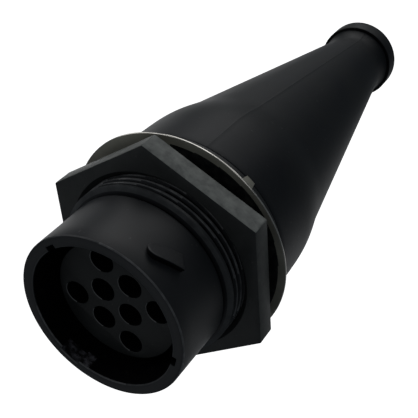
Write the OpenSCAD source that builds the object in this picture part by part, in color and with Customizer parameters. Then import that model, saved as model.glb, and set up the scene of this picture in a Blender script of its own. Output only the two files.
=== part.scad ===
// Panel-mounted circular connector: a bayonet receptacle with eight socket contacts, a hexagonal
// panel nut, a tabbed lock washer and a long conical cable boot.
// The axis runs along Y. The mating face looks towards -Y and the cable leaves towards +Y.
// The origin is on the axis, in the plane of the flange face that seats against the panel.

/* [Barrel] */

// Outer diameter of the mating barrel
barrel_d = 32.4; // [30:0.1:34]

// Diameter of the opening that takes the plug
mouth_d = 28.1; // [26:0.1:29]

// Depth of the plug opening, from the rim to its floor
mouth_depth = 14.5; // [10:0.5:16]

// Distance from the rim to the panel face of the flange
rim_to_flange = 25.5; // [24:0.5:32]

/* [Panel thread and flange] */

// Diameter over the thread crests
thread_d = 34.92; // [34:0.02:36]

// Distance from the rim to the first thread
thread_start = 13.9; // [13:0.1:16]

// Flange diameter
flange_d = 41; // [40:0.5:46]

// Flange thickness
flange_t = 2.6; // [2:0.1:4]

/* [Rear collar] */

// Diameter of the collar that the boot is pushed over
collar_d = 35.2; // [34:0.1:36]

/* [Contacts] */

// Distance between the centres of neighbouring contacts
contact_pitch = 6.36; // [6.2:0.02:6.6]

// Diameter of the contact holes in the mating face
cavity_d = 4.6; // [4:0.1:4.8]

// Distance from the rim down to the mating face of the insert
face_depth = 4.8; // [3:0.1:8]

// Distance from the mating face down to the contacts
contact_recess = 5.5; // [3:0.1:8]

// Diameter of the pin that each contact takes
pin_d = 2.4; // [2:0.1:2.6]

/* [Panel nut] */

// Width of the nut across its flats
nut_flats = 41.3; // [40:0.1:46]

// Thickness of the nut
nut_t = 4.3; // [3:0.1:4.6]

// Distance from the rim to the front of the nut
nut_front = 17.6; // [16:0.1:18]

/* [Lock washer] */

// Outer diameter of the washer
washer_d = 45; // [42:0.5:48]

// Thickness of the washer sheet
washer_t = 0.6; // [0.4:0.1:1]

/* [Cable boot] */

// Length of the boot
boot_len = 91; // [80:1:110]

// Diameter of the boot at its front edge
boot_front_d = 40.5; // [40:0.5:44]

// Diameter of the boot just in front of its end rib
boot_neck_d = 15.7; // [15:0.1:18]

// Wall thickness of the boot cone
boot_wall = 2.1; // [1.5:0.1:2.5]

// Diameter of the cable outlet
outlet_d = 11; // [9:0.5:12]

/* [Hidden] */

$fn = 96;

// Clearances: fitted parts that stay together, the nut on its thread, the boot on the collar.
fit_gap = 0.05;
nut_gap = 0.06;
boot_gap = 0.06;

// Cuts run past the faces they open by this much.
past = 1;

// Radii and stations along the axis, measured from the rim.
barrel_r = barrel_d / 2;
mouth_r = mouth_d / 2;
thread_r = thread_d / 2;
flange_r = flange_d / 2;
collar_r = collar_d / 2;
relief_depth = 0.35;
relief_r = barrel_r - relief_depth;
relief_len = 0.6;
thread_end_chamfer = 0.45;
thread_relief_depth = 0.9;
thread_relief_r = thread_r - thread_relief_depth;
thread_relief_len = 1;
end_chamfer = 0.5;
rim_chamfer = 0.25;
flange_back = rim_to_flange + flange_t;

// The insert stack stands on a web behind the plug opening.
web_t = 3;
web_back = mouth_depth + web_t;
tower_r = 11.9;
stack_r = 13.4;
shoulder_len = 7;
rear_insert_len = 6.5;
contact_z = face_depth + contact_recess;
contact_len = 24;
crimp_end_gap = 0.3;
lip_len = 0.8;
lip_groove_len = 1.4;
retainer_len = 2;
end_recess = 0.5;
clip_seat = web_back + shoulder_len;
rear_insert_back = clip_seat + rear_insert_len;
crimp_pocket_len = contact_z + contact_len + crimp_end_gap - rear_insert_back;
seal_len = crimp_pocket_len + 2 * (lip_len + lip_groove_len);
seal_back = rear_insert_back + seal_len;
retainer_back = seal_back + retainer_len;
shell_back = retainer_back + end_recess;
snap_h = 0.35;
snap_len = 0.9;
snap_z = seal_back + (retainer_len - snap_len) / 2;

// Keyways inside the opening: one wide master and two narrow ones, 110 degrees either side of it.
master_a = 90;
minor_step = 110;
master_w = 4.1;
minor_w = 2;
key_depth = 0.8;

// Three bayonet ramps climb round the barrel. Each is highest at its front wall and runs out
// into the barrel behind it.
lug_count = 3;
lug_h = 1.25;
lug_w = 3.4;
lug_len = 4.8;
lug_rise = 28.8;
lug_nose_z = 5.1;
lug_nose_t = -2.6;
lug_a = 278;

// Face groove and O-ring of the panel seal.
panel_seal_r = 19;
panel_seal_section = 1.5;
panel_groove_w = 1.7;
panel_groove_depth = 1.25;

// O-ring on the floor of the plug opening.
coupling_seal_play = 0.2;
coupling_seal_section = mouth_r - tower_r - coupling_seal_play;
coupling_seal_r = (mouth_r + tower_r) / 2;

// Socket contacts.
socket_r = 1.8;
socket_len = 11.5;
collar_stop_r = 2.2;
collar_stop_len = 1.9;
crimp_r = 1.85;
crimp_bore_r = 1.3;
crimp_bore_len = 7;
sight_hole_d = 1;
sight_hole_z = 1.2;
pin_bore_len = 8.5;
contact_chamfer = 0.2;
stop_gap = 0.4;
slot_w = 0.4;
slot_len = 6.5;
clip_pocket_r = 2.75;
clip_pocket_len = 4.8;
stop_pocket_len = 2.2;

// Contact clips: rolled sleeves with two tines that close in behind the contact's collar.
clip_r = clip_pocket_r - fit_gap;
clip_t = 0.2;
clip_len = 4.5;
clip_gap_a = 30;
tine_a = 70;
tine_gap = 0.08;
tine_tip_r = crimp_r + tine_gap;
tine_len = 3.4;

// Panel nut and washer.
nut_bore_r = thread_r + nut_gap;
nut_corner_r = nut_flats / 2 / cos(30);
nut_sink = 0.9;
nut_turned = 7.3;
washer_stand = 0.45;
washer_back = rim_to_flange - washer_stand;
washer_gap = 0.25;
washer_bore_r = thread_r + washer_gap;
tab_a = 276.8;
tab_span = 6.4;
tab_len = 1.25;

// Cable boot.
boot_stand = 0.3;
boot_front = flange_back + boot_stand;
boot_back = boot_front + boot_len;
boot_bore_r = collar_r + boot_gap;
boot_bore_spare = 0.5;
boot_bore_end = shell_back + boot_bore_spare;
sleeve_taper = 0.035;
blend_start = 39;
blend_end = 49;
cone_start = 53.5;
cone_start_r = 17.4;
rib_len = 4.4;
rib_r = 9.3;
rib_round = 0.5;
rib_groove = 0.5;
rib_groove_depth = 0.2;
neck_z = boot_back - rib_len - rib_groove;
neck_r = boot_neck_d / 2;
outlet_r = outlet_d / 2;
outlet_lead = 3;
blend_steps = 10;

// Contact positions in three rows of three, two and three.
row_h = contact_pitch * sin(60);
positions = [for (row = [1, 0, -1], column = [-1, 0, 1])
             if (row != 0 || column != 0)
             [row == 0 ? column * contact_pitch / 2 : column * contact_pitch, -row * row_h]];

function smooth(t) = t * t * (3 - 2 * t);
function cone_r(z) = cone_start_r + (neck_r - cone_start_r) * (z - cone_start) / (neck_z - cone_start);
function sleeve_r(z) = boot_front_d / 2 - sleeve_taper * (z - boot_front);
function blend(z) = smooth(min(1, max(0, (z - blend_start) / (blend_end - blend_start))));
function boot_r(z) = sleeve_r(z) * (1 - blend(z)) + cone_r(z) * blend(z);

// Turns a shape drawn along +Z from the rim into its place in the part's frame.
module place() {
    translate([0, -rim_to_flange, 0])
        rotate([-90, 0, 0])
            children();
}

module ring(r_in, r_out, z, h) {
    rotate_extrude()
        translate([r_in, z])
            square([r_out - r_in, h]);
}

module o_ring(r, section, z) {
    rotate_extrude()
        translate([r, z])
            circle(d = section, $fn = 32);
}

// A straight slot cut outwards from the axis.
module keyway(a, w) {
    rotate([0, 0, a])
        translate([mouth_r - past, -w / 2, -past])
            cube([past + key_depth, w, mouth_depth + past]);
}

// Outline of a bayonet ramp on the unrolled barrel: a rounded nose and a straight rising band.
module lug_outline() {
    circle(d = lug_w, $fn = 48);
    translate([0, -lug_w / 2])
        square([lug_len, lug_w]);
}

// One bayonet ramp. Its top is a cylinder as round as the barrel, tipped about the ramp's front
// wall so that it dips into the barrel at the ramp's rear edge.
module lug(a) {
    middle = [lug_len / 2, -lug_w / 2];
    wall_t = lug_nose_t + middle.x * cos(lug_rise) - middle.y * sin(lug_rise);
    wall_z = lug_nose_z + middle.x * sin(lug_rise) + middle.y * cos(lug_rise);
    wall_top = [barrel_r + lug_h, wall_t, wall_z];
    rotate([0, 0, a])
        difference() {
            intersection() {
                rotate([90, 0, 90])
                    linear_extrude(barrel_r + 2 * lug_h)
                        translate([lug_nose_t, lug_nose_z])
                            rotate(lug_rise)
                                lug_outline();
                translate(wall_top)
                    rotate(a = -atan(lug_h / lug_w), v = [0, cos(lug_rise), sin(lug_rise)])
                        translate([-wall_top.x, -wall_top.y, 0])
                            cylinder(r = barrel_r + lug_h, h = 2 * rim_to_flange, center = true);
            }
            cylinder(r = barrel_r - past, h = rim_to_flange);
        }
}

module shell_body() {
    rotate_extrude()
        polygon([
            [mouth_r + rim_chamfer, 0],
            [barrel_r - rim_chamfer, 0],
            [barrel_r, rim_chamfer],
            [barrel_r, thread_start - relief_len],
            [relief_r, thread_start - relief_len],
            [relief_r, thread_start],
            [thread_r - thread_end_chamfer, thread_start],
            [thread_r, thread_start + thread_end_chamfer],
            [thread_r, rim_to_flange - thread_relief_len],
            [thread_relief_r, rim_to_flange - thread_relief_len],
            [thread_relief_r, rim_to_flange],
            [flange_r, rim_to_flange],
            [flange_r, flange_back],
            [collar_r, flange_back],
            [collar_r, shell_back - end_chamfer],
            [collar_r - end_chamfer, shell_back],
            [stack_r, shell_back],
            [stack_r, snap_z + snap_len + fit_gap],
            [stack_r + snap_h, snap_z + snap_len + fit_gap],
            [stack_r + snap_h, snap_z - fit_gap],
            [stack_r, snap_z - fit_gap],
            [stack_r, web_back],
            [tower_r + fit_gap, web_back],
            [tower_r + fit_gap, mouth_depth],
            [mouth_r, mouth_depth],
            [mouth_r, rim_chamfer]
        ]);
}

module shell() {
    color([0.07, 0.07, 0.08])
        place()
            difference() {
                union() {
                    shell_body();
                    for (i = [0 : lug_count - 1])
                        lug(lug_a + i * 360 / lug_count);
                }
                keyway(master_a, master_w);
                keyway(master_a + minor_step, minor_w);
                keyway(master_a - minor_step, minor_w);
                ring(panel_seal_r - panel_groove_w / 2, panel_seal_r + panel_groove_w / 2,
                     rim_to_flange - past, past + panel_groove_depth);
            }
}

module front_insert() {
    color([0.06, 0.06, 0.07])
        place()
            difference() {
                rotate_extrude()
                    polygon([
                        [0, face_depth],
                        [tower_r - rim_chamfer, face_depth],
                        [tower_r, face_depth + rim_chamfer],
                        [tower_r, web_back],
                        [stack_r - fit_gap, web_back],
                        [stack_r - fit_gap, clip_seat],
                        [0, clip_seat]
                    ]);
                for (p = positions)
                    translate(p) {
                        translate([0, 0, face_depth - past])
                            cylinder(d = cavity_d, h = clip_seat - face_depth + 2 * past, $fn = 48);
                        translate([0, 0, clip_seat - stop_pocket_len])
                            cylinder(r = clip_pocket_r, h = stop_pocket_len + past, $fn = 48);
                    }
            }
}

module rear_insert() {
    color([0.09, 0.09, 0.10])
        place()
            difference() {
                ring(0, stack_r - fit_gap, clip_seat, rear_insert_len);
                for (p = positions)
                    translate(p) {
                        translate([0, 0, clip_seat - past])
                            cylinder(d = cavity_d, h = rear_insert_len + 2 * past, $fn = 48);
                        translate([0, 0, clip_seat - past])
                            cylinder(r = clip_pocket_r, h = clip_pocket_len + past, $fn = 48);
                    }
            }
}

// Hole through the wire seal: a pocket for the crimp, then two lips that grip the wire.
module seal_hole() {
    lip_r = 1.3;
    groove_r = 1.7;
    lip_end = crimp_pocket_len + lip_len;
    groove_end = lip_end + lip_groove_len;
    translate([0, 0, rear_insert_back])
        rotate_extrude($fn = 32)
            polygon([
                [0, -past],
                [crimp_r + fit_gap, -past],
                [crimp_r + fit_gap, crimp_pocket_len],
                [lip_r, crimp_pocket_len],
                [lip_r, lip_end],
                [groove_r, lip_end],
                [groove_r, groove_end],
                [lip_r, groove_end],
                [lip_r, groove_end + lip_len],
                [groove_r, seal_len],
                [groove_r, seal_len + past],
                [0, seal_len + past]
            ]);
}

module wire_seal() {
    color([0.35, 0.12, 0.08])
        place()
            difference() {
                ring(0, stack_r - fit_gap, rear_insert_back, seal_len);
                for (p = positions)
                    translate(p)
                        seal_hole();
            }
}

module rear_retainer() {
    color([0.08, 0.08, 0.09])
        place()
            difference() {
                rotate_extrude()
                    polygon([
                        [0, seal_back],
                        [stack_r - fit_gap, seal_back],
                        [stack_r - fit_gap, snap_z],
                        [stack_r + snap_h - fit_gap, snap_z],
                        [stack_r - fit_gap, snap_z + snap_len],
                        [stack_r - fit_gap, retainer_back],
                        [0, retainer_back]
                    ]);
                for (p = positions)
                    translate(p)
                        translate([0, 0, seal_back - past])
                            cylinder(d = cavity_d, h = retainer_len + 2 * past, $fn = 48);
            }
}

module coupling_seal() {
    color([0.05, 0.05, 0.05])
        place()
            o_ring(coupling_seal_r, coupling_seal_section, mouth_depth - coupling_seal_section / 2);
}

module panel_seal() {
    color([0.05, 0.05, 0.05])
        place()
            o_ring(panel_seal_r, panel_seal_section,
                   rim_to_flange + panel_groove_depth - panel_seal_section / 2);
}

module panel_nut() {
    color([0.16, 0.17, 0.16])
        place()
            difference() {
                translate([0, 0, nut_front])
                    rotate([0, 0, -nut_turned])
                        cylinder(r = nut_corner_r, h = nut_t, $fn = 6);
                translate([0, 0, nut_front - past])
                    cylinder(r = nut_bore_r, h = nut_t + 2 * past);
                translate([0, 0, nut_front])
                    cylinder(r1 = nut_bore_r + nut_sink, r2 = nut_bore_r, h = nut_sink);
            }
}

module lock_washer() {
    color([0.55, 0.54, 0.47])
        place() {
            ring(washer_bore_r, washer_d / 2, washer_back - washer_t, washer_t);
            rotate([0, 0, tab_a - tab_span / 2])
                rotate_extrude(angle = tab_span)
                    translate([washer_d / 2 - washer_t, washer_back - washer_t])
                        square([washer_t, washer_t + tab_len]);
        }
}

module cable_boot() {
    blend_z = [for (i = [0 : blend_steps]) blend_start + (blend_end - blend_start) * i / blend_steps];
    outer = concat(
        [[boot_r(boot_front), boot_front]],
        [for (z = blend_z) [boot_r(z), z]],
        [[neck_r, neck_z],
         [neck_r - rib_groove_depth, neck_z],
         [neck_r - rib_groove_depth, boot_back - rib_len]],
        [for (a = [-90 : 30 : 0])
         [rib_r - rib_round + rib_round * cos(a), boot_back - rib_len + rib_round + rib_round * sin(a)]],
        [for (a = [0 : 30 : 90])
         [rib_r - rib_round + rib_round * cos(a), boot_back - rib_round + rib_round * sin(a)]]
    );
    inner = [
        [outlet_r, boot_back],
        [outlet_r, neck_z - outlet_lead],
        [boot_r(cone_start) - boot_wall, cone_start],
        [boot_r(blend_end) - boot_wall, blend_end],
        [boot_bore_r, boot_bore_end],
        [boot_bore_r, boot_front]
    ];
    color([0.05, 0.05, 0.055])
        place()
            rotate_extrude()
                polygon(concat(outer, inner));
}

// A socket contact: a slotted socket, a locating collar and a crimp barrel with its sight hole.
module contact(i) {
    stop_z = socket_len + stop_gap;
    color([0.78, 0.66, 0.36])
        place()
            translate(positions[i - 1])
                translate([0, 0, contact_z])
                    difference() {
                        rotate_extrude($fn = 32)
                            polygon([
                                [pin_d / 2 + contact_chamfer, 0],
                                [socket_r - contact_chamfer, 0],
                                [socket_r, contact_chamfer],
                                [socket_r, stop_z],
                                [collar_stop_r, stop_z],
                                [collar_stop_r, stop_z + collar_stop_len],
                                [crimp_r, stop_z + collar_stop_len],
                                [crimp_r, contact_len],
                                [crimp_bore_r, contact_len],
                                [crimp_bore_r, contact_len - crimp_bore_len],
                                [0, contact_len - crimp_bore_len],
                                [0, pin_bore_len],
                                [pin_d / 2, pin_bore_len],
                                [pin_d / 2, contact_chamfer]
                            ]);
                        for (a = [0, 90])
                            rotate([0, 0, a])
                                translate([-socket_r - past, -slot_w / 2, -past])
                                    cube([2 * (socket_r + past), slot_w, slot_len + past]);
                        translate([0, 0, contact_len - crimp_bore_len + sight_hole_z])
                            rotate([90, 0, 0])
                                cylinder(d = sight_hole_d, h = crimp_r + past, $fn = 24);
                    }
}

module contact_clip(i) {
    sleeve_in = clip_r - clip_t;
    color([0.70, 0.70, 0.68])
        place()
            translate(positions[i - 1])
                translate([0, 0, clip_seat]) {
                    rotate([0, 0, clip_gap_a / 2])
                        rotate_extrude(angle = 360 - clip_gap_a, $fn = 32)
                            translate([sleeve_in, 0])
                                square([clip_t, clip_len]);
                    for (a = [90, 270])
                        rotate([0, 0, a - tine_a / 2])
                            rotate_extrude(angle = tine_a, $fn = 32)
                                polygon([
                                    [sleeve_in + clip_t / 2, tine_len],
                                    [sleeve_in + clip_t / 2, tine_len + clip_t],
                                    [sleeve_in, tine_len + clip_t],
                                    [tine_tip_r, clip_t],
                                    [tine_tip_r + clip_t, clip_t]
                                ]);
                }
}

shell();
front_insert();
rear_insert();
wire_seal();
rear_retainer();
coupling_seal();
panel_seal();
panel_nut();
lock_washer();
cable_boot();
contact(1);  // contact_1
contact(2);  // contact_2
contact(3);  // contact_3
contact(4);  // contact_4
contact(5);  // contact_5
contact(6);  // contact_6
contact(7);  // contact_7
contact(8);  // contact_8
contact_clip(1);  // contact_clip_1
contact_clip(2);  // contact_clip_2
contact_clip(3);  // contact_clip_3
contact_clip(4);  // contact_clip_4
contact_clip(5);  // contact_clip_5
contact_clip(6);  // contact_clip_6
contact_clip(7);  // contact_clip_7
contact_clip(8);  // contact_clip_8
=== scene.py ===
import math
import bmesh
import bpy
from mathutils import Matrix, Vector


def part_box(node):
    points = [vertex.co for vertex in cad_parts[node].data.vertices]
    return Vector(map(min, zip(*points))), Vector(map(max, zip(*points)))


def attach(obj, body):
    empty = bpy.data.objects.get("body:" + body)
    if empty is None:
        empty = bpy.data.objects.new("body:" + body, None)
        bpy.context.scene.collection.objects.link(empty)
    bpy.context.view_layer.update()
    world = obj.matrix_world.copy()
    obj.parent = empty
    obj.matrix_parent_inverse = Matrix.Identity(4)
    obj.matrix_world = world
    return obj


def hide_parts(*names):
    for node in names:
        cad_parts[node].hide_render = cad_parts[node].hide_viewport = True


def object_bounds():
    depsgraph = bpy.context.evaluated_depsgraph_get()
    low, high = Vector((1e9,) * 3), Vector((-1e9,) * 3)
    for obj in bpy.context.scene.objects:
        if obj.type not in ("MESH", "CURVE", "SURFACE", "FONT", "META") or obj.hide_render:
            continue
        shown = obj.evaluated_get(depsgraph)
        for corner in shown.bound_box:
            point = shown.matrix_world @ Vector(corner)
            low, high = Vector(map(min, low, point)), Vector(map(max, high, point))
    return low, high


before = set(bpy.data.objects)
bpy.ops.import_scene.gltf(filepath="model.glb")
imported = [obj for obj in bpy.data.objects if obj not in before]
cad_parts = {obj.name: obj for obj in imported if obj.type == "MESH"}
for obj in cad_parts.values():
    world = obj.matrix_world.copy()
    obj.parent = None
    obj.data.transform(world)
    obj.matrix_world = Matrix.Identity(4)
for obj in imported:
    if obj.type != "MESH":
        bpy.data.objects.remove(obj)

mm = 0.001
cad_low, cad_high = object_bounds()
rim_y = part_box("shell")[0].y


# ---- Camera, floor and studio -------------------------------------------------------------
# The camera looks down into the mouth of the barrel at 45 degrees, a little to one side, and is
# rolled so that the boot runs up to the right.
camera_data = bpy.data.cameras.new("camera")
camera_data.sensor_width = 36
camera_data.lens = 73.87
camera_data.shift_x = -0.0202
camera_data.shift_y = 0.0857
camera_data.clip_start = 0.01
camera_data.clip_end = 5
camera = bpy.data.objects.new("camera", camera_data)
bpy.context.collection.objects.link(camera)
bpy.context.scene.camera = camera
camera_right = Vector((0.7341, 0.4827, 0.4777)).normalized()
camera_up = Vector((-0.6791, 0.5218, 0.5164)).normalized()
camera_back = camera_right.cross(camera_up)
camera_place = Vector((5.98 * mm, rim_y - 84.73 * mm, 117.35 * mm))
camera.matrix_world = Matrix.Translation(camera_place) @ Matrix(
    (camera_right, camera_up, camera_back)).transposed().to_4x4()

# A pale floor lies well below the part, square to the view, so that no hard shadow falls on it.
floor_drop = 0.16
floor_size = 6.0
floor_mesh = bpy.data.meshes.new("floor")
floor_mesh.from_pydata(
    [(x * floor_size, y * floor_size, 0) for x, y in ((-1, -1), (1, -1), (1, 1), (-1, 1))],
    [], [(0, 1, 2, 3)])
floor = bpy.data.objects.new("floor", floor_mesh)
bpy.context.collection.objects.link(floor)
floor.location = (0, 0, cad_low.z - floor_drop)
floor.visible_diffuse = False
floor.visible_glossy = False
bpy.context.scene.view_settings.view_transform = "Standard"

floor_paint = bpy.data.materials.new("floor_paint")
floor_paint.use_nodes = True
floor_shader = floor_paint.node_tree.nodes["Principled BSDF"]
floor_shader.inputs["Base Color"].default_value = (0.93, 0.93, 0.93, 1)
floor_shader.inputs["Roughness"].default_value = 0.9
floor_shader.inputs["Emission Color"].default_value = (1, 1, 1, 1)
floor_shader.inputs["Emission Strength"].default_value = 1.0
floor_mesh.materials.append(floor_paint)

world = bpy.data.worlds.new("studio")
world.use_nodes = True
world.node_tree.nodes["Background"].inputs["Color"].default_value = (0.80, 0.91, 1.0, 1)
world.node_tree.nodes["Background"].inputs["Strength"].default_value = 0.07
bpy.context.scene.world = world


def soft_light(name, power, size, side, distance=0.8):
    """A square softbox that shines on the part from one side."""
    lamp = bpy.data.lights.new(name, "AREA")
    lamp.energy = power
    lamp.size = size
    light = bpy.data.objects.new(name, lamp)
    bpy.context.collection.objects.link(light)
    light.location = Vector(side).normalized() * distance
    light.rotation_mode = "QUATERNION"
    light.rotation_quaternion = (-light.location).to_track_quat("-Z", "Y")


# Two large softboxes stand to the left and behind, with weaker glows from the backdrop, the right,
# the table and a window behind the camera. The rear fill lights the sides that face away.
soft_light("left_softbox", 0.75, 0.5, (-1, -0.3, 0.05))
soft_light("top_softbox", 0.75, 0.45, (-0.62, 0.7, 0.37))
soft_light("rear_softbox", 0.30, 0.4, (-0.24, 0.7, 0.67))
soft_light("backdrop_glow", 0.65, 0.5, (-0.46, 0.7, -0.55))
soft_light("right_glow", 0.18, 0.5, (0.66, 0.7, -0.25))
soft_light("table_glow", 0.11, 0.5, (0, -0.7, -0.71))
soft_light("front_window", 0.12, 0.25, (0.05, -0.7, 0.72))
soft_light("rear_fill", 0.5, 0.6, (0.15, 0.75, -0.65))


# ---- Shell ---------------------------------------------------------------------------------
# One moulding of black glass-filled thermoplastic: the barrel with its keyways and bayonet
# ramps, the panel thread, the flange and the rear collar. Moulded edges are slightly rounded.
barrel_r = 16.2
mouth_r = 14.05
mouth_depth = 14.5
web_back = 17.5
tower_r = 11.9
stack_r = 13.4
keyway_r = mouth_r + 0.8
keyways = ((270, 4.1), (20, 2.0), (160, 2.0))
rim_edge = 0.3
mouth_edge = ((0, 0.22), (0.04, 0.08), (0.18, 0))
undercut = (13.3, 13.9)
undercut_r = 15.85
undercut_edge = 0.15
thread_r = 17.46
thread_depth = 0.76
thread_pitch = 1.411
crest_width = 1.35
flank_slope = 3.4
land_length = 1.15
land_fall = 0.25
thread_run_in = 0.3
thread_run_out = 0.95
thread_steps = 13
flange_front = 25.5
flange_r = 20.5
flange_back = 28.1
flange_edge = 0.3
collar_r = 17.6
collar_edge = 0.5
insert_play = 0.05
shell_back = (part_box("shell")[1].y - rim_y) / mm


def at(radius, angle, station):
    """A point at a radius and a station behind the rim, in mm, and an angle from +X towards +Z."""
    a = math.radians(angle)
    return Vector((radius * math.cos(a) * mm, rim_y + station * mm, radius * math.sin(a) * mm))


def arc(centre_r, centre_s, radius, start, end, steps=4):
    """Round corner of an outline: points (radius, station) on an arc, angles in degrees."""
    return [(centre_r + radius * math.cos(math.radians(start + (end - start) * i / steps)),
             centre_s + radius * math.sin(math.radians(start + (end - start) * i / steps)))
            for i in range(steps + 1)]


def skin(name, rings, closed=True, sharp=35, loops=True):
    """Skins a row of rings of points into a mesh, smooth but for edges over the sharp angle."""
    mesh = bpy.data.meshes.new(name)
    bm = bmesh.new()
    rows = [[bm.verts.new(point) for point in ring] for ring in rings]
    last = len(rows) if closed else len(rows) - 1
    for i in range(last):
        row, above = rows[i], rows[(i + 1) % len(rows)]
        for j in range(len(row) if loops else len(row) - 1):
            k = (j + 1) % len(row)
            bm.faces.new((row[j], row[k], above[k], above[j]))
    bmesh.ops.remove_doubles(bm, verts=bm.verts, dist=1e-7)
    bmesh.ops.recalc_face_normals(bm, faces=bm.faces)
    bm.normal_update()
    for edge in bm.edges:
        edge.smooth = edge.calc_face_angle(0) < math.radians(sharp)
    for face in bm.faces:
        face.smooth = True
    bm.to_mesh(mesh)
    bm.free()
    piece = bpy.data.objects.new(name, mesh)
    bpy.context.collection.objects.link(piece)
    return piece


def shell_angles(steps=240):
    """Angles of the shell's columns: even steps, and pairs that bound each keyway."""
    edges = []
    for centre, width in keyways:
        half = math.degrees(math.asin(width / 2 / mouth_r))
        half_deep = math.degrees(math.asin(width / 2 / keyway_r))
        edges += [(centre - half, False), (centre - half_deep, True),
                  (centre + half_deep, True), (centre + half, False)]
    columns = [(angle % 360, deep) for angle, deep in edges]
    for i in range(steps):
        angle = 360 * i / steps
        gaps = [abs((angle - edge + 180) % 360 - 180) for edge, deep in edges]
        if min(gaps) > 0.5:
            inside = any(abs((angle - centre + 180) % 360 - 180)
                         < math.degrees(math.asin(width / 2 / keyway_r)) for centre, width in keyways)
            columns.append((angle, inside))
    return sorted(columns)


columns = shell_angles()


def even_ring(radius, station):
    """A round ring of the shell, with a point in each column."""
    return [at(radius, angle, station) for angle, deep in columns]


def keyed_ring(extra, station):
    """A ring of the mouth's wall, cut back by the keyways and widened by extra."""
    return [at((keyway_r if deep else mouth_r) + extra, angle, station) for angle, deep in columns]


def thread_ring(station, limit):
    """A ring of the right-hand thread: 60 degree flanks, rounded crests, held within a limit.

    The thread starts behind a plain land at the height of its crests.
    """
    ring = []
    for angle, deep in columns:
        turn = (station / thread_pitch + angle / 360) % 1
        height = max(0.0, min(1.0, crest_width - abs(turn - 0.5) * flank_slope))
        land = max(0.0, min(1.0, (undercut[1] + land_length - station) / land_fall))
        height = max(height * height * (3 - 2 * height), land)
        ring.append(at(min(limit, thread_r - thread_depth * (1 - height)), angle, station))
    return ring


# The skin runs from the mouth's floor out over the rim and back along the outside to the web.
shell_rings = [keyed_ring(0, s) for s in (mouth_depth, 9, 6, 3, 0.5)]
shell_rings += [keyed_ring(extra, s) for extra, s in mouth_edge]
shell_rings += [even_ring(r, s) for r, s in arc(barrel_r - rim_edge, rim_edge, rim_edge, -90, 0)]
shell_rings += [even_ring(barrel_r, s) for s in (3, 6, 9, undercut[0] - undercut_edge)]
shell_rings += [even_ring(barrel_r - 0.8 * undercut_edge, undercut[0])]
shell_rings += [even_ring(undercut_r, undercut[0] + 0.05), even_ring(undercut_r, undercut[1])]
land_foot_r = thread_r - thread_depth - 0.1
shell_rings += [even_ring(land_foot_r, undercut[1])]
thread_stations = int((flange_front - 1.0 - undercut[1]) / thread_pitch * thread_steps)
for i in range(thread_stations + 1):
    s = undercut[1] + 0.02 + i * thread_pitch / thread_steps
    limit = land_foot_r + (s - undercut[1]) / thread_run_in * (thread_r - land_foot_r)
    shell_rings.append(thread_ring(s, min(thread_r, limit)))
shell_rings += [even_ring(thread_r - thread_depth, s)
                for s in (flange_front - thread_run_out, flange_front)]
shell_rings += [even_ring(r, s) for r, s in
                arc(flange_r - flange_edge, flange_front + flange_edge, flange_edge, -90, 0)]
shell_rings += [even_ring(r, s) for r, s in
                arc(flange_r - flange_edge, flange_back - flange_edge, flange_edge, 0, 90)]
shell_rings += [even_ring(collar_r, flange_back)]
shell_rings += [even_ring(r, s) for r, s in
                arc(collar_r - collar_edge, shell_back - collar_edge, collar_edge, 0, 90)]
shell_rings += [even_ring(stack_r, shell_back), even_ring(stack_r, web_back)]
shell_rings += [even_ring(tower_r + insert_play, s) for s in (web_back, mouth_depth)]
shell = skin("shell_moulding", shell_rings)


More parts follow.
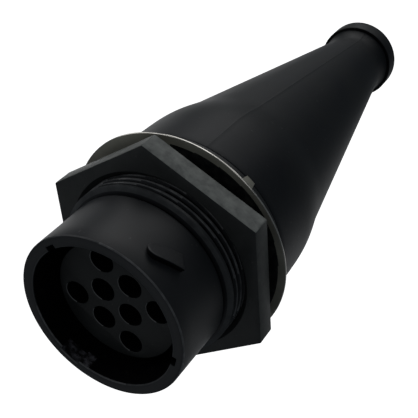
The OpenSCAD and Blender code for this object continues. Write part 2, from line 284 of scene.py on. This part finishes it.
def moulded(name, colour, tint, rough, grain=2600, depth=0.02, specular=0.5, smears=90, dust=0.25,
             patch_start=0.32):
    """Moulded plastic or rubber: eroded grain, soft patches of tint and gloss, flecks of dust.

    A higher patch_start leaves more of the first colour showing between the patches.
    """
    finish = bpy.data.materials.new(name)
    finish.use_nodes = True
    nodes, links = finish.node_tree.nodes, finish.node_tree.links
    shader = nodes["Principled BSDF"]
    shader.inputs["Specular IOR Level"].default_value = specular
    place = nodes.new("ShaderNodeTexCoord")
    patches = nodes.new("ShaderNodeTexNoise")
    patches.inputs["Scale"].default_value = smears
    patches.inputs["Detail"].default_value = 6
    patches.inputs["Roughness"].default_value = 0.6
    links.new(place.outputs["Object"], patches.inputs["Vector"])
    mix = nodes.new("ShaderNodeValToRGB")
    mix.color_ramp.elements[0].position = patch_start
    mix.color_ramp.elements[0].color = (*colour, 1)
    mix.color_ramp.elements[1].position = 0.72
    mix.color_ramp.elements[1].color = (*tint, 1)
    links.new(patches.outputs["Fac"], mix.inputs["Fac"])
    specks = nodes.new("ShaderNodeTexNoise")
    specks.inputs["Scale"].default_value = 1100
    specks.inputs["Detail"].default_value = 2
    links.new(place.outputs["Object"], specks.inputs["Vector"])
    fleck = nodes.new("ShaderNodeMapRange")
    fleck.inputs["From Min"].default_value = 0.70
    fleck.inputs["From Max"].default_value = 0.78
    fleck.inputs["To Max"].default_value = dust
    links.new(specks.outputs["Fac"], fleck.inputs["Value"])
    dusty = nodes.new("ShaderNodeMix")
    dusty.data_type = "RGBA"
    dusty.inputs["B"].default_value = (0.20, 0.20, 0.19, 1)
    links.new(fleck.outputs["Result"], dusty.inputs["Factor"])
    links.new(mix.outputs["Color"], dusty.inputs["A"])
    links.new(dusty.outputs["Result"], shader.inputs["Base Color"])
    gloss = nodes.new("ShaderNodeMapRange")
    gloss.inputs["To Min"].default_value = rough - 0.06
    gloss.inputs["To Max"].default_value = rough + 0.08
    links.new(patches.outputs["Fac"], gloss.inputs["Value"])
    links.new(gloss.outputs["Result"], shader.inputs["Roughness"])
    pits = nodes.new("ShaderNodeTexNoise")
    pits.inputs["Scale"].default_value = grain
    pits.inputs["Detail"].default_value = 3
    links.new(place.outputs["Object"], pits.inputs["Vector"])
    bump = nodes.new("ShaderNodeBump")
    bump.inputs["Strength"].default_value = 0.35
    bump.inputs["Distance"].default_value = depth * mm
    links.new(pits.outputs["Fac"], bump.inputs["Height"])
    links.new(bump.outputs["Normal"], shader.inputs["Normal"])
    return finish


def repaint(piece, finish, where):
    """Gives a second finish to the faces whose middle and direction pass a test."""
    piece.data.materials.append(finish)
    slot = len(piece.data.materials) - 1
    for face in piece.data.polygons:
        middle, out = face.center, face.normal
        radius = math.hypot(middle.x, middle.z) / mm
        station = (middle.y - rim_y) / mm
        outward = (out.x * middle.x + out.z * middle.z) / max(radius * mm, 1e-9)
        angle = math.degrees(math.atan2(middle.z, middle.x)) % 360
        if where(radius, station, outward, out.y, angle):
            face.material_index = slot


shell_black = moulded("shell_black", (0.015, 0.016, 0.019), (0.026, 0.028, 0.032), 0.46)
shell.data.materials.append(shell_black)
painted_shade_black = moulded("painted_shade_black", (0.002, 0.002, 0.003), (0.004, 0.004, 0.005), 0.34, specular=0.2)
painted_sheen_black = moulded("painted_sheen_black", (0.050, 0.052, 0.055), (0.095, 0.098, 0.102), 0.36, grain=1500,
                     smears=500, dust=0.4)
painted_edge_highlight = moulded("painted_edge_highlight", (0.10, 0.10, 0.105), (0.24, 0.24, 0.245), 0.34, grain=1500,
                    smears=700, dust=0.4)
keyway_dust = moulded("keyway_dust", (0.002, 0.002, 0.003), (0.20, 0.19, 0.22), 0.7, grain=900,
                      depth=0.12, smears=1000, dust=0.3, patch_start=0.46)
# Painted shade: the mouth's wall, the undercut and the roots of the thread are painted near black.
repaint(shell, painted_shade_black, lambda radius, station, outward, forward, angle:
        (0.3 < station < mouth_depth + 0.1 and radius < keyway_r + 0.1)
        or (undercut[0] - 0.16 < station < undercut[1] + 0.05 and radius < barrel_r - 0.05)
        or (undercut[1] + 1 < station < flange_front and radius < thread_r - 0.5))
# Painted highlights: the land in front of the thread, its crests, and the rim's edges are painted paler
# as painted sheen and highlights.
land_back = undercut[1] + land_length
inner_highlight_span = (225, 320)
outer_highlight_span = (5, 118)
outer_sheen_span = (95, 160)
repaint(shell, painted_sheen_black, lambda radius, station, outward, forward, angle:
        (undercut[1] < station < land_back and radius > undercut_r + 0.3)
        or (station < 0.2 and radius < mouth_r + 0.2)
        or (station < rim_edge and radius > barrel_r - 0.2 and outer_sheen_span[0] < angle < outer_sheen_span[1]))
# Thread crests, the rim's inner edge at the bottom and its outer edge on top: painted highlights.
repaint(shell, painted_edge_highlight, lambda radius, station, outward, forward, angle:
        (land_back < station < flange_front - 1 and thread_r - 0.1 < radius < thread_r + 0.1)
        or (station < 0.2 and radius < keyway_r + 0.2 and inner_highlight_span[0] < angle < inner_highlight_span[1])
        or (station < rim_edge and radius > barrel_r - 0.2 and outer_highlight_span[0] < angle < outer_highlight_span[1]))
# Dry dust has settled in the bottom keyway, just inside the rim.
dust_reach = 3
dust_span = (262, 287)
repaint(shell, keyway_dust, lambda radius, station, outward, forward, angle:
        0.2 < station < dust_reach and dust_span[0] < angle < dust_span[1] and outward < -0.5)
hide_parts("shell")
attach(shell, "receptacle")


# Bayonet ramps: three raised wedges that climb round the barrel from a rounded nose. The plug's
# coupling ring rides along their front walls. Behind the walls they run out into the barrel.
ramp_count = 3
ramp_height = 1.25
ramp_nose_r = 1.7
ramp_length = 4.8
ramp_rise = 28.8
ramp_nose_station = 5.1
ramp_nose_angle = 91.2
ramp_edge = 0.16
ramp_root = 0.4
ramp_spine = 3.5


def ramp_outline(inset):
    """Outline of a ramp, anticlockwise from the top of its nose: (along, behind the nose)."""
    nose = ramp_nose_r - inset
    end = ramp_length - inset
    points = [(nose * math.cos(math.radians(a)), nose * math.sin(math.radians(a)))
              for a in range(90, 271, 9)]
    points += [(end * k / 8, -nose) for k in range(1, 9)]
    points += [(end, -nose + 2 * nose * k / 6) for k in range(1, 7)]
    points += [(end * k / 8, nose) for k in range(7, 0, -1)]
    return points


def ramp_point(along, behind, drop, turn):
    """A point on a ramp's top, or below it by a drop."""
    c, s = math.cos(math.radians(ramp_rise)), math.sin(math.radians(ramp_rise))
    across = along * c - behind * s
    station = along * s + behind * c + ramp_nose_station
    height = ramp_height * (0.5 - behind / (2 * ramp_nose_r))
    return at(barrel_r + height - drop, ramp_nose_angle + turn - math.degrees(across / barrel_r),
              station)


for number in range(ramp_count):
    turn = number * 360 / ramp_count
    rings = [[ramp_point(x, y, ramp_height + ramp_root, turn) for x, y in ramp_outline(0)],
             [ramp_point(x, y, ramp_edge, turn) for x, y in ramp_outline(0)],
             [ramp_point(x, y, ramp_edge * 0.3, turn) for x, y in ramp_outline(ramp_edge * 0.3)],
             [ramp_point(x, y, 0, turn) for x, y in ramp_outline(ramp_edge)]]
    # The top closes in six steps on a spine along its middle.
    for k in range(1, 7):
        rings.append([ramp_point(x + (min(max(x, 0), ramp_spine) - x) * k / 6, y * (1 - k / 6), 0, turn)
                      for x, y in ramp_outline(ramp_edge)])
    ramp = skin(f"bayonet_ramp_{number + 1}", rings, closed=False)
    ramp.data.materials.append(shell_black)
    # The ramps' walls are painted near black as painted shade.
    repaint(ramp, painted_shade_black, lambda radius, station, outward, forward, angle: outward < 0.25)
    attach(ramp, "receptacle")


# ---- Contact insert ------------------------------------------------------------------------
# The round tower inside the barrel, moulded in matt black. Eight cavities open on its face in
# rows of three, two and three, each with a slightly rounded lip over its socket contact.
face_station = 4.8
cavity_r = 2.3
cavity_lip = 0.1
cavity_pitch = 6.36
row_rise = cavity_pitch * math.sin(math.radians(60))
shoulder_back = 24.5
cavities = [(column * cavity_pitch / (2 if row == 0 else 1), row * row_rise)
            for row in (1, 0, -1) for column in (-1, 0, 1) if row != 0 or column != 0]


def circle_spline(curve, x, y, radius, segments):
    """Adds a closed circle, drawn with straight segments, to a curve."""
    spline = curve.splines.new("POLY")
    spline.points.add(segments - 1)
    for i, point in enumerate(spline.points):
        a = 2 * math.pi * i / segments
        point.co = ((x + radius * math.cos(a)) * mm, (y + radius * math.sin(a)) * mm, 0, 1)
    spline.use_cyclic_u = True


def punched_disc(name, radius, holes, hole_r, front, back, lip):
    """A disc with round holes and rounded lips, cut from front to back station."""
    curve = bpy.data.curves.new(name, "CURVE")
    curve.dimensions = "2D"
    curve.fill_mode = "BOTH"
    circle_spline(curve, 0, 0, radius - lip, 128)
    for x, z in holes:
        circle_spline(curve, x, -z, hole_r + lip, 48)
    curve.extrude = ((back - front) / 2 - lip) * mm
    curve.bevel_depth = lip * mm
    curve.bevel_resolution = 2
    drawn = bpy.data.objects.new(name + "_drawn", curve)
    bpy.context.collection.objects.link(drawn)
    depsgraph = bpy.context.evaluated_depsgraph_get()
    mesh = bpy.data.meshes.new_from_object(drawn.evaluated_get(depsgraph))
    bpy.data.objects.remove(drawn)
    mesh.name = name
    middle = rim_y + (front + back) / 2 * mm
    mesh.transform(Matrix.Translation((0, middle, 0)) @ Matrix.Rotation(math.radians(-90), 4, "X"))
    bm = bmesh.new()
    bm.from_mesh(mesh)
    bmesh.ops.remove_doubles(bm, verts=bm.verts, dist=1e-7)
    bmesh.ops.recalc_face_normals(bm, faces=bm.faces)
    bm.normal_update()
    for edge in bm.edges:
        edge.smooth = edge.calc_face_angle(0) < math.radians(35)
    for face in bm.faces:
        face.smooth = True
    bm.to_mesh(mesh)
    bm.free()
    piece = bpy.data.objects.new(name, mesh)
    bpy.context.collection.objects.link(piece)
    return piece


insert_black = moulded("insert_black", (0.017, 0.019, 0.019), (0.032, 0.034, 0.035), 0.55,
                       grain=3200, depth=0.015)
painted_lip_glint = moulded("painted_lip_glint", (0.16, 0.16, 0.16), (0.34, 0.34, 0.34), 0.4, smears=600)
tower = punched_disc("insert_tower", tower_r, cavities, cavity_r, face_station, web_back, cavity_lip)
shoulder = punched_disc("insert_shoulder", stack_r - insert_play, cavities, cavity_r,
                        web_back, shoulder_back, cavity_lip)
for part in (tower, shoulder):
    part.data.materials.append(insert_black)
    # The cavities' walls are painted near black as painted shade.
    repaint(part, painted_shade_black, lambda radius, station, outward, forward, angle:
            abs(forward) < 0.3 and radius < tower_r - 0.3)
    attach(part, "receptacle")
# The lower lip of each cavity is painted light as a painted glint.
lip_glint_bearings = (-220, -65)
tower.data.materials.append(painted_lip_glint)
for face in tower.data.polygons:
    if face.center.y < rim_y + (face_station + 2 * cavity_lip) * mm and face.normal.y > -0.97:
        beside = min((Vector((face.center.x / mm - x, face.center.z / mm - z)) for x, z in cavities),
                     key=lambda gap: gap.length)
        bearing = math.degrees(math.atan2(beside.y, beside.x))
        if beside.length < cavity_r + 0.15 and lip_glint_bearings[0] < bearing < lip_glint_bearings[1]:
            face.material_index = len(tower.data.materials) - 1
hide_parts("front_insert")


# ---- Insert stack and seals ----------------------------------------------------------------
# Behind the tower: the hard rear insert, the soft wire seal and the snap-in retainer, and the
# two black O-rings. All are hidden in use.
rear_black = moulded("rear_black", (0.03, 0.03, 0.033), (0.045, 0.045, 0.05), 0.5)
seal_red = moulded("wire_seal_red", (0.20, 0.055, 0.035), (0.28, 0.08, 0.05), 0.6, grain=900)
ring_black = moulded("ring_black", (0.010, 0.010, 0.010), (0.016, 0.016, 0.016), 0.5, grain=1500)


def dress(node, finish):
    """Gives a solid that is carried over as it is its finish."""
    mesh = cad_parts[node].data
    mesh.materials.clear()
    mesh.materials.append(finish)


dress("rear_insert", rear_black)
dress("rear_retainer", rear_black)
dress("wire_seal", seal_red)
dress("coupling_seal", ring_black)
dress("panel_seal", ring_black)


# ---- Contacts and clips --------------------------------------------------------------------
# Turned brass sockets with a thin dull gold plating, and rolled spring-steel clips behind their
# collars. Both sit deep in the cavities.
def metal(name, colour, rough, streaks, metallic=1.0):
    """Turned or rolled metal: fine scratches in the gloss and faint stains in the colour."""
    finish = bpy.data.materials.new(name)
    finish.use_nodes = True
    nodes, links = finish.node_tree.nodes, finish.node_tree.links
    shader = nodes["Principled BSDF"]
    shader.inputs["Metallic"].default_value = metallic
    place = nodes.new("ShaderNodeTexCoord")
    marks = nodes.new("ShaderNodeTexNoise")
    marks.inputs["Scale"].default_value = streaks
    marks.inputs["Detail"].default_value = 6
    links.new(place.outputs["Object"], marks.inputs["Vector"])
    stain = nodes.new("ShaderNodeValToRGB")
    stain.color_ramp.elements[0].position = 0.3
    stain.color_ramp.elements[0].color = (*[c * 0.72 for c in colour], 1)
    stain.color_ramp.elements[1].position = 0.7
    stain.color_ramp.elements[1].color = (*colour, 1)
    links.new(marks.outputs["Fac"], stain.inputs["Fac"])
    links.new(stain.outputs["Color"], shader.inputs["Base Color"])
    gloss = nodes.new("ShaderNodeMapRange")
    gloss.inputs["To Min"].default_value = rough - 0.08
    gloss.inputs["To Max"].default_value = rough + 0.12
    links.new(marks.outputs["Fac"], gloss.inputs["Value"])
    links.new(gloss.outputs["Result"], shader.inputs["Roughness"])
    return finish


contact_gold = metal("contact_gold", (0.62, 0.50, 0.24), 0.35, 700)
clip_steel = metal("clip_steel", (0.55, 0.55, 0.53), 0.32, 900)
for number in range(1, len(cavities) + 1):
    dress(f"contact_{number}", contact_gold)
    dress(f"contact_clip_{number}", clip_steel)


# ---- Panel nut -----------------------------------------------------------------------------
# A flat hexagonal nut moulded in black, with sharp corners and a countersunk bore. Its flats
# are painted lighter than its face, partly mottled dust and partly painted light, the top one most.
nut_low, nut_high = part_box("panel_nut")
nut_front = (nut_low.y - rim_y) / mm
nut_back = (nut_high.y - rim_y) / mm
nut_flat_r = 41.3 / 2
nut_first_corner = 7.3
nut_bore_r = thread_r + 0.1
nut_sink = 0.9
nut_edge = 0.16
nut_back_edge = 0.3
corner_round = 0.35
top_flat = (67, 127)
left_flat = (127, 187)


def hexagon(flat_r):
    """Angles and radii round a hexagon with slightly rounded corners."""
    points = []
    corner_centre = (flat_r - corner_round) / math.cos(math.radians(30))
    half = (flat_r - corner_round) * math.tan(math.radians(30))
    for corner in range(6):
        middle = nut_first_corner + 60 * corner
        for k in range(5):
            a = math.radians(middle - 30 + 15 * k)
            x = corner_centre * math.cos(math.radians(middle)) + corner_round * math.cos(a)
            z = corner_centre * math.sin(math.radians(middle)) + corner_round * math.sin(a)
            points.append((x, z))
        flat = math.radians(middle + 30)
        for k in range(1, 24):
            along = -half + 2 * half * k / 24
            points.append((flat_r * math.cos(flat) - along * math.sin(flat),
                           flat_r * math.sin(flat) + along * math.cos(flat)))
    return [(math.degrees(math.atan2(z, x)), math.hypot(x, z)) for x, z in points]


hex_angles = [angle for angle, radius in hexagon(nut_flat_r)]


def nut_hex_ring(flat_r, station):
    """A hexagonal ring of the nut, to a radius over its flats."""
    scale = flat_r / nut_flat_r
    return [at(radius * scale, angle, station) for angle, radius in hexagon(nut_flat_r)]


def nut_round_ring(radius, station):
    """A round ring of the nut, with a point in line with each of the hexagon's."""
    return [at(radius, angle, station) for angle in hex_angles]


# The skin runs from the bore forward over the countersink and the face, then down the flats.
nut_rings = [nut_round_ring(nut_bore_r, nut_back - nut_back_edge)]
nut_rings += [nut_round_ring(nut_bore_r, nut_front + nut_sink)]
nut_rings += [nut_round_ring(nut_bore_r + nut_sink, nut_front)]
nut_rings += [nut_round_ring(nut_bore_r + nut_sink + 0.6, nut_front)]
nut_rings += [nut_hex_ring(nut_flat_r - 1.2, nut_front), nut_hex_ring(nut_flat_r - nut_edge, nut_front)]
nut_rings += [nut_hex_ring(nut_flat_r - nut_edge * 0.3, nut_front + nut_edge * 0.3)]
nut_rings += [nut_hex_ring(nut_flat_r, nut_front + nut_edge)]
nut_rings += [nut_hex_ring(nut_flat_r, nut_back - nut_edge)]
nut_rings += [nut_hex_ring(nut_flat_r - nut_edge * 0.3, nut_back - nut_edge * 0.3)]
nut_rings += [nut_hex_ring(nut_flat_r - nut_edge, nut_back)]
nut_rings += [nut_round_ring(nut_bore_r + nut_back_edge, nut_back)]
nut = skin("hex_nut", nut_rings, sharp=25)
# The flats differ as painted light: those underneath are painted darker as painted shade and the one on
# top is painted palest as painted light.
nut_black = moulded("nut_black", (0.035, 0.037, 0.037), (0.060, 0.063, 0.062), 0.5,
                    grain=1500, depth=0.03, smears=260)
nut_flat_dust_and_light = moulded("nut_flat_dust_and_light", (0.085, 0.090, 0.086), (0.215, 0.225, 0.210), 0.55,
                    grain=1200, depth=0.05, smears=420, dust=0.6)
nut.data.materials.append(nut_black)
# All flats: paler for their dust, and paler still as painted light.
repaint(nut, nut_flat_dust_and_light, lambda radius, station, outward, forward, angle:
        outward > 0.7 and radius > nut_flat_r - 0.3)
# The top flat: painted light.
nut_top_painted_light = moulded("nut_top_painted_light", (0.170, 0.178, 0.172), (0.450, 0.465, 0.438), 0.55,
                   grain=1200, depth=0.05, smears=420, dust=0.7)
repaint(nut, nut_top_painted_light, lambda radius, station, outward, forward, angle:
        outward > 0.7 and radius > nut_flat_r - 0.3 and top_flat[0] < angle < top_flat[1])
# The flats underneath and on the right: painted shade.
nut_painted_shade = moulded("nut_painted_shade", (0.050, 0.054, 0.051), (0.110, 0.116, 0.108), 0.55,
                   grain=1200, depth=0.05, smears=420, dust=0.4)
repaint(nut, nut_painted_shade, lambda radius, station, outward, forward, angle:
        outward > 0.7 and radius > nut_flat_r - 0.3 and not top_flat[0] < angle < left_flat[1])
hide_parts("panel_nut")
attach(nut, "nut")


# ---- Lock washer ---------------------------------------------------------------------------
# A ring stamped from thin plated steel, no longer quite flat, with a small tab bent back over
# the flange. Its cut edge is bright, its faces are dull, and a painted shadow lies in the corner by the
# nut.
washer_low, washer_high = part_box("lock_washer")
washer_t = 0.6
washer_front = (washer_low.y - rim_y) / mm
washer_bore_r = 17.71
washer_r = 22.5
tab_angle = 83.2
tab_span = 6.4
tab_back = (washer_high.y - rim_y) / mm
tab_t = 0.45
tab_taper = 0.3
washer_wave = 0.12
wave_phase = 40
washer_edge = 0.08
nut_shadow_r = 21.42
nut_shadow_middle = 75
nut_shadow_ends = (125, 230)
nut_shadow_fade = 0.5


def washer_ring(radius, lift):
    """A ring of the washer, which waves twice round its circumference."""
    ring = []
    for k in range(240):
        angle = 1.5 * k
        wave = washer_wave * math.sin(math.radians(2 * angle + wave_phase)) * (radius / washer_r)
        ring.append(at(radius, angle, washer_front + washer_wave + lift + wave))
    return ring


washer_plate = washer_t - 2 * washer_wave
# The front face has close rings where the painted shadow ends.
washer = skin("washer_ring", [
    washer_ring(washer_bore_r, 0), *[washer_ring(20.5 + 0.15 * k, 0) for k in range(9)],
    washer_ring(washer_r - washer_edge, 0), washer_ring(washer_r, washer_edge),
    washer_ring(washer_r, washer_plate - washer_edge), washer_ring(washer_r - washer_edge, washer_plate),
    washer_ring(washer_bore_r, washer_plate)])
# The tab narrows a little towards its end.
tab_outline = [(washer_r - tab_t, washer_front + 0.3), (washer_r, washer_front + 0.3),
               (washer_r, tab_back - 0.1), (washer_r - 0.1, tab_back),
               (washer_r - 0.35, tab_back), (washer_r - tab_t, tab_back - 0.1)]
tab = skin("washer_tab", [
    [at(r, tab_angle + (k / 8 - 0.5) * tab_span * (1 - tab_taper * (s - washer_front) / 2), s)
     for k in range(9)] for r, s in tab_outline], loops=False)
washer_zinc = metal("washer_zinc", (0.60, 0.58, 0.49), 0.38, 180, metallic=0.5)
washer_cut = metal("washer_cut", (0.80, 0.77, 0.72), 0.22, 900)
washer_painted_shadow = moulded("washer_painted_shadow", (0.003, 0.004, 0.005), (0.040, 0.040, 0.036), 0.55,
                        smears=700, patch_start=0.45)
cut_r = washer_r - 0.1
for part in (washer, tab):
    part.data.materials.append(washer_zinc)
    repaint(part, washer_cut, lambda radius, station, outward, forward, angle:
            radius > cut_r and (station < washer_front + 1 or station > tab_back - 0.2))
    # The corner by the nut is painted dark as a painted shadow.
    repaint(part, washer_painted_shadow, lambda radius, station, outward, forward, angle:
            forward < -0.7 and not nut_shadow_ends[0] <= angle <= nut_shadow_ends[1]
            and radius < nut_shadow_r - nut_shadow_fade * min(1, abs(angle - nut_shadow_middle) / 45))
    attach(part, "washer")
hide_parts("lock_washer")


# ---- Cable boot ----------------------------------------------------------------------------
# One long cone of satin black rubber, pushed over the collar. A fine parting line runs down two
# sides of it, its end flares a little, and a rounded rib stiffens the cable outlet.
boot_low, boot_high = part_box("cable_boot")
boot_front = (boot_low.y - rim_y) / mm
boot_back = (boot_high.y - rim_y) / mm
boot_front_r = 20.25
boot_taper = 0.035
neck_r = 7.4
neck_flare = 1.25
flare_length = 4.5
shoulder_start, shoulder_end = 37.5, 51
cone_start, cone_start_r = 53.5, 17.4
rib_r = 9.3
rib_length = 4.4
rib_groove = 0.12
outlet_r = 5.5
boot_wall = 2.1
boot_bore_r = collar_r + 0.06
neck_station = boot_back - rib_length - rib_groove
boot_edge = 0.35
rib_front_edge = 0.25
rib_back_edge = 0.6
outlet_edge = 0.3
seam_angles = (110.5, 290.5)
seam_height = 0.035
seam_half_width = 0.5


def boot_radius(station):
    sleeve = boot_front_r - boot_taper * (station - boot_front)
    cone = cone_start_r + (neck_r - cone_start_r) * (station - cone_start) / (neck_station - cone_start)
    t = min(1, max(0, (station - shoulder_start) / (shoulder_end - shoulder_start)))
    t = t * t * (3 - 2 * t)
    flare = neck_flare * max(0, (station - neck_station) / flare_length + 1) ** 2
    return sleeve * (1 - t) + cone * t + flare


boot_angles = sorted([2 * k for k in range(180)]
                     + [seam + step for seam in seam_angles for step in (-0.5, -0.25, 0, 0.25, 0.5)])


def boot_ring(radius, station, seam=1.0):
    """A ring of the boot's outside, raised along the parting lines."""
    ring = []
    for angle in boot_angles:
        near = min(abs((angle - s + 180) % 360 - 180) for s in seam_angles)
        lift = seam_height * seam * max(0, 1 - near / seam_half_width)
        ring.append(at(radius + lift - seam_height * 0.5 * seam, angle, station))
    return ring


# The skin runs along the outside, round the rib, in at the outlet and back through the inside.
rib_front = boot_back - rib_length
groove_r = neck_r + neck_flare - 0.3
boot_start = boot_front + boot_edge
boot_rings = [boot_ring(boot_front_r - boot_edge, boot_front, 0),
              boot_ring(boot_front_r - 0.08, boot_front + 0.1, 0.5)]
for k in range(91):
    s = boot_start + (neck_station - boot_start) * k / 90
    boot_rings.append(boot_ring(boot_radius(s), s))
boot_rings += [boot_ring(groove_r, neck_station + 0.05, 0), boot_ring(groove_r, rib_front, 0)]
boot_rings += [boot_ring(r, s, 0) for r, s in
               arc(rib_r - rib_front_edge, rib_front + rib_front_edge, rib_front_edge, -90, 0, 4)]
boot_rings += [boot_ring(r, s, 0.3) for r, s in
               arc(rib_r - rib_back_edge, boot_back - rib_back_edge, rib_back_edge, 0, 90, 5)]
boot_rings += [boot_ring(r, s, 0) for r, s in
               arc(outlet_r + outlet_edge, boot_back - outlet_edge, outlet_edge, 90, 180, 3)]
boot_rings += [boot_ring(outlet_r, neck_station - 3, 0)]
boot_rings += [boot_ring(boot_radius(cone_start) - boot_wall, cone_start, 0)]
boot_rings += [boot_ring(boot_radius(shoulder_end) - boot_wall, shoulder_end, 0)]
boot_rings += [boot_ring(boot_bore_r, shell_back + 0.5, 0), boot_ring(boot_bore_r, boot_front, 0)]
boot = skin("rubber_boot", boot_rings)
boot_rubber = moulded("boot_rubber", (0.0045, 0.0070, 0.0125), (0.0150, 0.0172, 0.0185), 0.50,
                      grain=1500, depth=0.035, smears=75, specular=0.38)
boot.data.materials.append(boot_rubber)
# The groove in front of the rib is painted near black as painted shade.
repaint(boot, painted_shade_black, lambda radius, station, outward, forward, angle:
        neck_station < station < rib_front + 0.06 and radius > neck_r)
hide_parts("cable_boot")
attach(boot, "boot")
